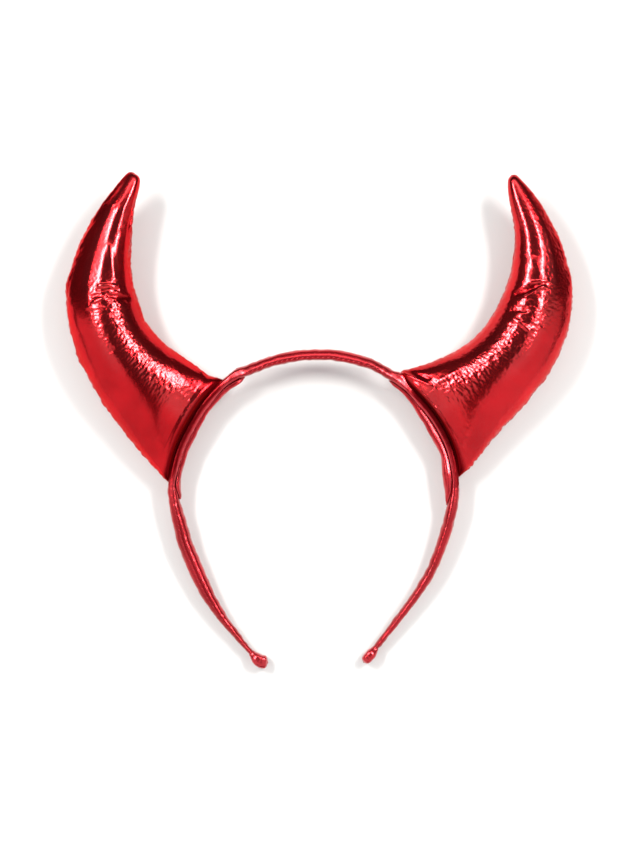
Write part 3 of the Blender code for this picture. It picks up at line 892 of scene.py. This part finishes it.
# %% Running the simulation
def settle(grid):
    """The same grid after a cloth simulation of the stuffed panels."""
    rows, columns = grid.shape[:2]
    finish = bpy.data.materials.new("settling")
    work = cloth_object(
        "settling", grid * SIM_SCALE, True, 0.0, finish,
        [strip_cap(0, columns, False), strip_cap((rows - 1) * columns, columns, True)],
    )
    work.shape_key_add(name="Basis")
    cut = work.shape_key_add(name="cut")
    cut.data.foreach_set("co", (flat_cut(grid) * SIM_SCALE).astype(np.float32).ravel())
    held = work.vertex_groups.new(name="held")
    held.add(list(range(columns * 4)), 1.0, "REPLACE")
    cloth = work.modifiers.new("stuffing", "CLOTH")
    settings = cloth.settings
    settings.rest_shape_key = cut
    settings.vertex_group_mass = held.name
    for kind, value in SIM_CLOTH.items():
        setattr(settings, kind, value)
    settings.effector_weights.gravity = 0.0
    for tick in range(1, SIM_FRAMES + 1):
        bpy.context.scene.frame_set(tick)
    graph = bpy.context.evaluated_depsgraph_get()
    evaluated = work.evaluated_get(graph)
    settled = np.empty(rows * columns * 3, np.float32)
    evaluated.data.vertices.foreach_get("co", settled)
    bpy.context.scene.frame_set(1)
    bpy.data.objects.remove(work, do_unlink=True)
    return settled.reshape(rows, columns, 3).astype(float) / SIM_SCALE


def wrinkles_of(side):
    """How far each point of the sparse loft moves as its cloth settles."""
    grid = horn_loft(side, SIM_ROWS, SIM_AROUND)[0]
    moved = settle(grid) - grid
    moved -= blurred(moved, BLUR_CELLS)
    size = np.linalg.norm(moved, axis=2, keepdims=True)
    return moved * CLOTH_CAP / np.maximum(size, CLOTH_CAP)


def finer(field, rows, columns):
    """A field over a sparse grid at the points of a finer one, by smooth curves."""
    along = between(
        field.reshape(len(field), -1), np.linspace(0, len(field) - 1, rows)
    ).reshape(rows, field.shape[1], -1)
    ring = np.concatenate([along[:, -2:], along, along[:, :3]], axis=1)
    ring = ring.transpose(1, 0, 2).reshape(ring.shape[1], -1)
    at = 2 + np.arange(columns) / columns * field.shape[1]
    return between(ring, at).reshape(columns, rows, -1).transpose(1, 0, 2)


wrinkles = {}
for side in HORN_ROWS:
    wrinkles[side] = wrinkles_of(side)
    size = np.linalg.norm(wrinkles[side], axis=2)
    print(side, "wrinkles, mm: mean", round(size.mean(), 3), "most", round(size.max(), 3))

# %% [markdown]
# ## Finishing the horns
# The settled wrinkles, the folds of the picture, the puckers along both seams and a fine crush
# of the foil are added on a dense grid. The crush lies across the horn and is strongest on the
# full lower half, where the picture's highlight breaks into grains. A painted shade darkens the
# foil in the fold beside the band and in the creases. Along the seams the foil is rubbed lighter,
# which is also a painted highlight on the rims, and it is glossiest where it is crushed or drawn
# flat. The bellies are pressed level where they touch the floor.

# %% Where the cloth is crushed and wrinkled
CRUSH_DEPTH = 0.24
CRUSH_PLACES = {"left": (0.35, 0.10), "right": (0.36, 0.26)}  # middle across, share at the top
CRUSH_ROWS = (6.2, 8.0)  # rows over which the crush of the lower half fades
CRUSH_REACH = (0.15, 0.11)  # inwards and outwards of its middle
STRIP_ROWS = (2.6, 4.6)  # rows over which a fainter strip beside it begins
STRIP = (0.58, 0.08, 0.6)  # its middle across, its reach, its share
CREASE_ROW = (7.0, 1.1)  # the row where each horn is creased, and the reach of the creases
HORN_SEEDS = {"left": 1.7, "right": 5.3}
BACK_SEED = 40.0


def bell(value, middle, reach):
    """1 in the middle, falling off to both sides."""
    return np.exp(-(((value - middle) / reach) ** 2))


def crush_share(stations, across, middle, upper):
    """Where the foil is crushed: on the full lower half, near the inner side of the belly."""
    low = 1 - soft_step(stations, *CRUSH_ROWS)
    reach = np.where(across < middle, *CRUSH_REACH)
    broad = low[:, None] * bell(across, middle, reach)
    place, width, share = STRIP
    beside = (low * soft_step(stations, *STRIP_ROWS))[:, None] * bell(across, place, width)
    return upper + (1 - upper) * np.clip(broad + share * beside, 0, 1)


def crushed_foil(along, over, front, seed):
    """Fine and coarse grains of crushed foil, unlike on the two sides of a horn."""
    crush = np.zeros(along.shape)
    for face in (1.0, -1.0):
        there = front == face
        fine = grainy(along[:, there], over[:, there], 0.75, 1.25, seed + face)
        coarse = grainy(along[:, there], over[:, there], 1.4, 2.8, seed + 3 + face)
        crush[:, there] = 0.50 * fine + 0.30 * coarse
    return crush


def wrinkle_share(stations, to_seam):
    """How much of the settled wrinkles to keep: all at the seams, less on the taut belly."""
    crease = bell(stations, *CREASE_ROW)[:, None]
    belly = soft_step(to_seam, 1.5, 6.0)
    foot = 1 - 0.6 * (1 - soft_step(stations, 0.5, 3.0))[:, None]
    return (1 - belly * (1 - (0.18 + 0.22 * crease))) * foot


# %% [markdown]
# The dense grid takes the sparse wrinkles through smooth curves, and each kind of relief is
# scaled by its own share. The last section is closed with a few shrinking rings, since a
# stitched tip that was turned inside out is blunt.

# %% Dense horns
HORN_COUNT = 336
HORN_AROUND = 256
SEAM_GROOVE = 0.30
SEAM_PUCKER = 0.28
SEAM_REACH = 2.6
# The painted shade of the fold beside the band ends over these millimetres.
BASE_PAINTED_SHADE = (2.6, 5.4)  # millimetres from the band over which the dark of the fold ends
STREAK_ROWS = (6.0, 7.5)  # rows over which the smooth gloss of the upper half begins
DULL = 0.12
TIP_TURNS = (0.3, 0.6, 0.85, 1.0)
IN_PLANE = np.array([0.45, 0.45, 1.0])


def round_tip(grid):
    """The grid with rings added beyond its last section, which close in to a round tip."""
    last = grid[-1]
    centre = last.mean(axis=0)
    ahead = centre - grid[-12].mean(axis=0)
    ahead /= np.linalg.norm(ahead)
    rounds = []
    for part in TIP_TURNS:
        bend = part * math.pi / 2
        forward = ahead * math.sin(bend) * TIP_ROUND
        rounds.append(centre + (last - centre) * max(math.cos(bend), 0.04) + forward)
    return np.concatenate([grid, np.array(rounds)])


def to_tip(values):
    """Values of a grid, with those of its last row repeated for the rings of the tip."""
    return np.concatenate([values, np.repeat(values[-1:], len(TIP_TURNS), axis=0)])


def dress_horn(side):
    """A horn with all its wrinkles, folds and puckers, its wear, painted highlight and painted
    shade, and its gloss.
    """
    grid, stations, across, front = horn_loft(side, HORN_COUNT, HORN_AROUND)
    uv = lengths_on(grid * MM, True)[:, :-1] * 10
    along, over = uv[..., 0], uv[..., 1]
    seed = HORN_SEEDS[side]
    push = grid_normals(grid, True)
    push *= np.sign((push * (grid - grid.mean(axis=1, keepdims=True))).sum(axis=2).mean())

    to_seam = np.minimum(np.abs(over[:, :1]) - np.abs(over), np.abs(over))
    crushed = crush_share(stations, across, *CRUSH_PLACES[side])
    crush = crushed_foil(along, over, front, seed) * (CRUSH_DEPTH * crushed)
    groove = -SEAM_GROOVE * bell(to_seam, 0, 0.5)
    sides = np.broadcast_to(np.where(front > 0, seed, seed + BACK_SEED), over.shape)
    outer_side = soft_step(across, 0.4, 0.6)[None, :]
    gather = grainy(along, sides, 1.5, 1.0, seed + 9)
    gather *= SEAM_PUCKER * (1 + 0.7 * outer_side) * bell(to_seam, 0, SEAM_REACH)
    folds = fold_height(FOLDS[side], grid) * np.maximum(front, 0) * soft_step(to_seam, 0, 2)
    lift = crush + groove + gather + folds
    rows_left = len(HORN_ROWS[side]) - 1 - stations
    fade = (soft_step(stations, -1.0, -0.2) * soft_step(rows_left, 1.0, 3.5))[:, None]
    moved = finer(wrinkles[side], HORN_COUNT, HORN_AROUND) * IN_PLANE
    moved *= wrinkle_share(stations, to_seam)[..., None]
    grid = grid + moved * fade[..., None] + push * (lift * fade)[..., None]

    # Painted shade in the fold beside the band and in creases; lighter along the seams: rubbed
    # foil and a painted highlight on the rims.
    beside_band = 1 - soft_step(along, *BASE_PAINTED_SHADE)
    deep = np.maximum(front, 0) * beside_band + np.clip(-folds * 1.3, 0, 0.8)
    wear_and_painted_light = bell(to_seam, 0, 0.7) * 0.7 - np.minimum(deep, 1)
    bright = soft_step(across, 0.12, 0.25) * (1 - soft_step(across, 0.62, 0.80))
    streaks = soft_step(stations, *STREAK_ROWS)[:, None] * bright[None, :]
    gloss = DULL + (1 - DULL) * np.clip(1.6 * crushed + streaks, 0, 1)

    placed = lie_down(round_tip(grid))
    placed[..., 2] = np.maximum(placed[..., 2], 0.0)
    caps = [
        strip_cap(0, HORN_AROUND, False),
        strip_cap((len(placed) - 1) * HORN_AROUND, HORN_AROUND, True),
    ]
    name = f"horn_{side}_cloth"
    return cloth_object(name, placed, True, to_tip(wear_and_painted_light), horn_cloth, caps, to_tip(gloss))


horns = {side: dress_horn(side) for side in HORN_ROWS}
for side, horn in horns.items():
    print(horn.name, "faces:", len(horn.data.polygons))

# %% [markdown]
# ## The base wraps
# Where a horn meets the band its cloth is turned round the inner side of the band and stitched
# at the back. It is one thin sheet, made as a grid round the band's path, with its front edge
# tucked against the ridge of the seam. The right one stands off in a loose lens and a pleat.
# Its free edges lie close to the band all round.

# %% Stations of the wraps
WRAP_ROWS = {
    "left": (
        # along, slant, from angle, to angle, inner, back
        (-36.5, 1.6, 66, 192, 0.0, 0.0),
        (-41.0, 1.0, 44, 194, 0.8, 0.3),
        (-45.5, 0.4, 40, 195, 0.8, 0.4),
        (-52.0, 0.0, 46, 195, 0.7, 0.5),
        (-60.0, 0.0, 50, 195, 0.8, 0.6),
        (-72.0, 0.0, 52, 195, 1.0, 0.6),
        (-84.0, 0.0, 50, 195, 0.9, 0.5),
        (-92.0, 0.0, 40, 195, 0.6, 0.4),
        (-97.0, -0.6, 34, 195, 0.5, 0.3),
        (-100.5, -1.0, 44, 193, 0.1, 0.2),
        (-103.0, -1.4, 66, 188, -0.1, 0.0),
    ),
    "right": (
        # along, slant, from angle, to angle, inner, back
        (36.5, -1.4, 66, 194, 0.0, 0.0),
        (42.0, -0.8, 50, 194, 0.1, 0.3),
        (49.0, 0.0, 48, 195, 0.8, 0.4),
        (56.0, 0.0, 52, 195, 1.9, 0.5),
        (62.0, 0.0, 54, 195, 2.5, 0.6),
        (68.0, 0.0, 54, 195, 2.7, 0.6),
        (74.0, 0.0, 52, 195, 2.4, 0.6),
        (79.5, 0.0, 46, 195, 1.9, 0.5),
        (84.0, 0.2, 38, 195, 2.2, 0.5),
        (88.5, 0.6, 30, 195, 2.5, 0.5),
        (93.0, 1.0, 30, 195, 2.0, 0.4),
        (98.0, 1.4, 36, 194, 0.7, 0.3),
        (102.0, 1.8, 66, 190, 0.0, 0.0),
    ),
}
WRAP_STEPS = 200
WRAP_AROUND = 56
WRAP_GAP = 0.35
WRAP_STAND = 0.75
WRAP_WALL = 0.35


def wrap_points(side):
    """The sheet round the band as a grid, and how far each point is from its free edges."""
    rows = WRAP_ROWS[side]
    at = np.linspace(0, len(rows) - 1, WRAP_STEPS)
    along, slant, first, last, inner, back = between(rows, at).T[:, :, None]
    share = np.linspace(0, 1, WRAP_AROUND)[None, :]
    angle = np.radians(first + (last - first) * share)
    forward, inward = np.cos(angle), np.sin(angle)
    band, normal = sample(BAND_PATH, CROWN + along + slant * inward)
    thick, depth = band[..., 2], band[..., 3]
    reach = ((np.abs(inward) * 2 / thick) ** 4 + (np.abs(forward) * 2 / depth) ** 4) ** -0.25
    edge = soft_step(share, 0, 0.12) * soft_step(1 - share, 0, 0.10)
    free = soft_step(at[:, None], 0, 0.8) * soft_step(len(rows) - 1 - at[:, None], 0, 0.8)
    lift = inner * np.maximum(inward, 0) ** 2 + back * np.maximum(-forward, 0) ** 2
    crease = grainy(along + 0 * angle, angle * 4, 2.4, 5.0, 12.6) * 0.08
    crease += grainy(along + 0 * angle, angle * 4, 7.0, 2.6, 22.1) * 0.22
    radius = reach + WRAP_GAP + (WRAP_STAND + lift + crease) * edge * free
    plane = band[..., :2] - normal * (radius * inward)[..., None]
    return np.concatenate([plane, (radius * forward)[..., None]], axis=-1), share, free


wraps, wrap_sizes = {}, {}
for side in WRAP_ROWS:
    points, share, free = wrap_points(side)
    placed = lie_down(points)
    # The front edge and the free ends are lighter: rubbed foil and a painted highlight.
    rim = 1 - soft_step(share, 0, 0.06) * free
    if side == "right":
        placed = placed[:, ::-1]
        rim = rim[:, ::-1]
    wrap = cloth_object(f"base_wrap_{side}_cloth", placed, False, rim * 0.5, sleeve_cloth)
    add_wall(wrap, WRAP_WALL, 0.0)
    wraps[side], wrap_sizes[side] = wrap, flat_size(placed, False, WRAP_WALL)
    print(wrap.name, "flat size, m:", wrap_sizes[side])

# %% [markdown]
# ## The ends of the sleeve
# At each end the sleeve is folded over the tip of the band and glued or stitched down, which
# leaves a small thick foot. It is a short tube of cloth, so it is swept like the band, narrow
# where it grips the band and closed to a pinch at its end, with one shallow pleat across.

# %% End folds
END_ROWS = {
    "left": (
        # x, y, thick, depth
        (-28.7, -75.8, 4.4, 6.6),
        (-27.0, -77.6, 4.8, 7.2),
        (-25.0, -79.4, 5.8, 7.4),
        (-22.9, -80.0, 5.9, 6.8),
        (-21.1, -80.2, 5.0, 5.4),
    ),
    "right": (
        # x, y, thick, depth
        (27.4, -73.6, 4.4, 6.4),
        (25.9, -75.6, 4.6, 7.5),
        (24.2, -77.6, 4.7, 7.7),
        (22.9, -79.0, 4.3, 7.1),
        (21.8, -80.3, 3.0, 4.4),
    ),
}
END_STEPS = 64
END_AROUND = 64
END_SQUARENESS = 3.2
END_PINCH = 0.12
END_MOUTH = 0.66


def end_points(side):
    """A foot of folded sleeve as a grid in the headband's plane, closed to a pinch at its end."""
    path = path_of(END_ROWS[side])
    lengths = np.linspace(0, path[1][-1], END_STEPS)
    rows, normals = sample(path, lengths)
    angles = np.linspace(0, 2 * math.pi, END_AROUND, endpoint=False)
    closing = np.sqrt(1 - soft_step(lengths, path[1][-1] - 1.6, path[1][-1] + 0.02) ** 2)
    opening = END_MOUTH + (1 - END_MOUTH) * soft_step(lengths, 0.0, 3.4)
    scale = (np.maximum(closing, END_PINCH) * opening)[:, None]
    half_out, half_forward = rows[:, 2:3] / 2 * scale, rows[:, 3:4] / 2 * scale
    out, forward = power_ring(angles[None, :], half_out, half_forward, END_SQUARENESS)
    points = out_of_path(rows, normals, out, forward)
    push = grid_normals(points, True)
    along = lengths[:, None] + 0 * angles
    round_place = np.broadcast_to(angles * 2.2, along.shape)
    crease = 0.04 * grainy(along + 0.5 * round_place, round_place, 1.8, 2.8, 31.0)
    pleat = -0.12 * bell(along - 0.5 * forward / 3, 0.55 * path[1][-1], 0.35)
    return points + push * ((crease + pleat) * scale)[..., None]


ends, end_sizes = {}, {}
for side in END_ROWS:
    points = end_points(side)
    placed = lie_down(points)
    placed[..., 2] = np.maximum(placed[..., 2], 0.0)
    caps = [strip_cap((END_STEPS - 1) * END_AROUND, END_AROUND, True)]
    ends[side] = cloth_object(f"end_fold_{side}_cloth", placed, True, 0.25, sleeve_cloth, caps)
    add_wall(ends[side], CLOTH_WALL, -1.0)
    end_sizes[side] = flat_size(placed, True, 0.0)
    print(ends[side].name, "flat size, m:", end_sizes[side])

# %% [markdown]
# ## Hand stitches
# The sleeve is closed by a row of small slanted stitches on its ridge, and the wraps are sewn
# down behind the band. A stitch repeats along a path, which is what Geometry Nodes are good at:
# the path is a line of points that carries the direction in which each stitch lies, the tree
# resamples it at the stitch spacing, puts one small thread on each point and turns it a little.

# %% The tree that sews
STITCH_SEED = 7
SIZE_NAMES = ("Spacing", "Stitch Length", "Thread Radius", "Unevenness")


def stitch_tree():
    tree = bpy.data.node_groups.new("sew_along", "GeometryNodeTree")
    face = tree.interface
    face.new_socket("Path", in_out="INPUT", socket_type="NodeSocketGeometry")
    for name in SIZE_NAMES:
        face.new_socket(name, in_out="INPUT", socket_type="NodeSocketFloat")
    face.new_socket("Thread", in_out="INPUT", socket_type="NodeSocketMaterial")
    face.new_socket("Stitches", in_out="OUTPUT", socket_type="NodeSocketGeometry")
    given = tree.nodes.new("NodeGroupInput")
    path, spacing, length, radius, uneven, thread = [Wire(tree, s) for s in given.outputs[:6]]
    line = path.node("GeometryNodeMeshToCurve", {}, {"Mesh": path})
    even = line.node(
        "GeometryNodeResampleCurve", {"mode": "LENGTH"}, {"Curve": line, "Length": spacing}
    )
    ball = line.node("GeometryNodeMeshUVSphere", {}, {"Segments": 7, "Rings": 5, "Radius": 1.0})
    size = line.node("ShaderNodeCombineXYZ", {}, {"X": radius, "Y": radius, "Z": length * 0.5})
    shaped = line.node("GeometryNodeTransform", {}, {"Geometry": ball, "Scale": size})
    smooth = line.node("GeometryNodeSetShadeSmooth", {}, {0: shaped})
    lie = line.node(
        "GeometryNodeInputNamedAttribute", {"data_type": "FLOAT_VECTOR"}, {"Name": "lie"}
    )
    wander = line.node(
        "FunctionNodeRandomValue", {"data_type": "FLOAT_VECTOR"},
        {0: (-1.0, -1.0, -1.0), 1: (1.0, 1.0, 1.0), "Seed": STITCH_SEED},
    )
    drift = line.node("ShaderNodeVectorMath", {"operation": "SCALE"}, {0: wander, "Scale": uneven})
    toward = line.node("ShaderNodeVectorMath", {"operation": "ADD"}, {0: lie, 1: drift})
    turn = line.node("FunctionNodeAlignRotationToVector", {"axis": "Z"}, {"Vector": toward})
    sewn = line.node(
        "GeometryNodeInstanceOnPoints", {}, {"Points": even, "Instance": smooth, "Rotation": turn}
    )
    real = line.node("GeometryNodeRealizeInstances", {}, {0: sewn})
    dressed = line.node("GeometryNodeSetMaterial", {}, {"Geometry": real, "Material": thread})
    tree.links.new(dressed.socket, tree.nodes.new("NodeGroupOutput").inputs[0])
    return tree


SEWING = stitch_tree()


# %% Sewing along paths
def sew(name, paths, sizes, thread):
    """Stitches along paths of (points, directions) in metres, as one plain mesh object."""
    points = np.concatenate([path for path, _ in paths])
    edges, start = [], 0
    for path, _ in paths:
        edges += [(start + i, start + i + 1) for i in range(len(path) - 1)]
        start += len(path)
    mesh = bpy.data.meshes.new(name + "_path")
    mesh.from_pydata(points.tolist(), edges, [])
    lie = mesh.attributes.new("lie", "FLOAT_VECTOR", "POINT")
    lie.data.foreach_set("vector", np.concatenate([way for _, way in paths]).ravel())
    guide = bpy.data.objects.new(name + "_path", mesh)
    bpy.context.scene.collection.objects.link(guide)
    sewing = guide.modifiers.new("sewing", "NODES")
    sewing.node_group = SEWING
    for item in SEWING.interface.items_tree:
        if item.in_out == "INPUT" and item.name in sizes:
            sewing[item.identifier] = sizes[item.name]
        if item.in_out == "INPUT" and item.name == "Thread":
            sewing[item.identifier] = thread
    graph = bpy.context.evaluated_depsgraph_get()
    plain = bpy.data.meshes.new_from_object(guide.evaluated_get(graph))
    bpy.data.objects.remove(guide, do_unlink=True)
    plain.name = name
    # the sphere brings an empty material slot of its own, which goes
    plain.materials.clear()
    plain.materials.append(thread)
    plain.polygons.foreach_set("material_index", np.zeros(len(plain.polygons), np.int32))
    made = bpy.data.objects.new(name, plain)
    bpy.context.scene.collection.objects.link(made)
    print(name, "faces:", len(plain.polygons))
    return made


# %% [markdown]
# The thread is a little duller than the foil. Its two plies show as fine slanted rings, made by
# a wave on Object coordinates.

# %% Thread
THREAD_DARK = (0.26, 0.004, 0.010)
THREAD_RED = (0.50, 0.012, 0.026)
PLY_HEIGHT = 0.00004


def thread_material():
    made = bpy.data.materials.new("sewing_thread")
    made.use_nodes = True
    shader = made.node_tree.nodes["Principled BSDF"]
    start = Wire(made.node_tree, None)
    solid = start.node("ShaderNodeTexCoord", {}, {}, "Object")
    plies = start.node(
        "ShaderNodeTexWave", {"bands_direction": "DIAGONAL"},
        {"Vector": solid, "Scale": 900.0, "Distortion": 1.0}, "Fac",
    )
    tone = start.node("ShaderNodeTexNoise", {}, {"Vector": solid, "Scale": 300.0})
    shade = (plies * 0.5 + tone * 0.5).clamped()
    shade.tint(THREAD_DARK, THREAD_RED).into(shader, "Base Color")
    (0.55 - plies * 0.15).into(shader, "Roughness")
    twist = {"Height": plies, "Strength": 0.5, "Distance": PLY_HEIGHT}
    start.node("ShaderNodeBump", {}, twist).into(shader, "Normal")
    shader.inputs["Metallic"].default_value = 0.3
    return made


thread = thread_material()

# %% [markdown]
# The ridge is sewn wherever no wrap covers it: on both legs and on the top. Each wrap is sewn
# down along its back edge.

# %% Where the stitches go
RIDGE_SLANT = 0.45
RIDGE_SIZES = dict(zip(SIZE_NAMES, (0.0023, 0.0013, 0.00013, 0.10)))
WRAP_SIZES = dict(zip(SIZE_NAMES, (0.0027, 0.0022, 0.00018, 0.14)))
RIDGE_RUNS = ((-186.0, -104.0), (-33.0, 33.0), (104.0, 178.0))


def ridge_path(start, stop):
    """Points on top of the sleeve's ridge and the slanted direction of its stitches."""
    along = np.linspace(start, stop, int(stop - start))
    rows, normals = sample(BAND_PATH, along + CROWN)
    place, height, _ = seam_values(along)
    half, deep = rows[:, 2] / 2, rows[:, 3] / 2
    _, top, squareness = band_zones(along)
    face = deep * (1 - np.abs(place) ** squareness) ** (1 / squareness)
    face -= TOP_LEAN * top * place * half
    plane = rows[:, :2] + normals * (place * half)[:, None]
    placed = lie_down(np.concatenate([plane, (face + height * 0.9)[:, None]], axis=1))
    ahead = np.gradient(placed, axis=0)
    ahead /= np.linalg.norm(ahead, axis=1)[:, None]
    aside = np.concatenate([normals, np.zeros((len(normals), 1))], axis=1)
    return placed, ahead * math.cos(RIDGE_SLANT) + aside * math.sin(RIDGE_SLANT)


def wrap_edge(side):
    """Points along the back edge of a wrap and the direction across that edge."""
    placed = lie_down(wrap_points(side)[0])[6:-6]
    last, before = placed[:, -3], placed[:, -9]
    across = last - before
    across /= np.linalg.norm(across, axis=1)[:, None]
    ahead = np.gradient(last, axis=0)
    ahead /= np.linalg.norm(ahead, axis=1)[:, None]
    away = np.cross(ahead, across)
    away *= np.where(away[:, 2:3] > 0, -1.0, 1.0)
    lean = across * 0.85 + ahead * 0.5
    return last + away * (WRAP_WALL * 0.6 * MM), lean / np.linalg.norm(lean, axis=1)[:, None]


ridges = [ridge_path(*run) for run in RIDGE_RUNS]
ridge_stitches = sew("ridge_stitches", ridges, RIDGE_SIZES, thread)
wrap_stitches = {
    side: sew(f"wrap_stitches_{side}", [wrap_edge(side)], WRAP_SIZES, thread)
    for side in WRAP_ROWS
}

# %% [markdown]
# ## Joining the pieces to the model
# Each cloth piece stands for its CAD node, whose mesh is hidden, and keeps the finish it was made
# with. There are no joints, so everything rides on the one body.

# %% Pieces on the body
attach(band_sleeve, "root")
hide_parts("band")
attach(ridge_stitches, "root")
for side in ("left", "right"):
    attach(wrap_stitches[side], "root")
    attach(horns[side], "root")
    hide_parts("horn_" + side)
    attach(wraps[side], "root")
    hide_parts("base_wrap_" + side)
    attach(ends[side], "root")
    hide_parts("end_fold_" + side)
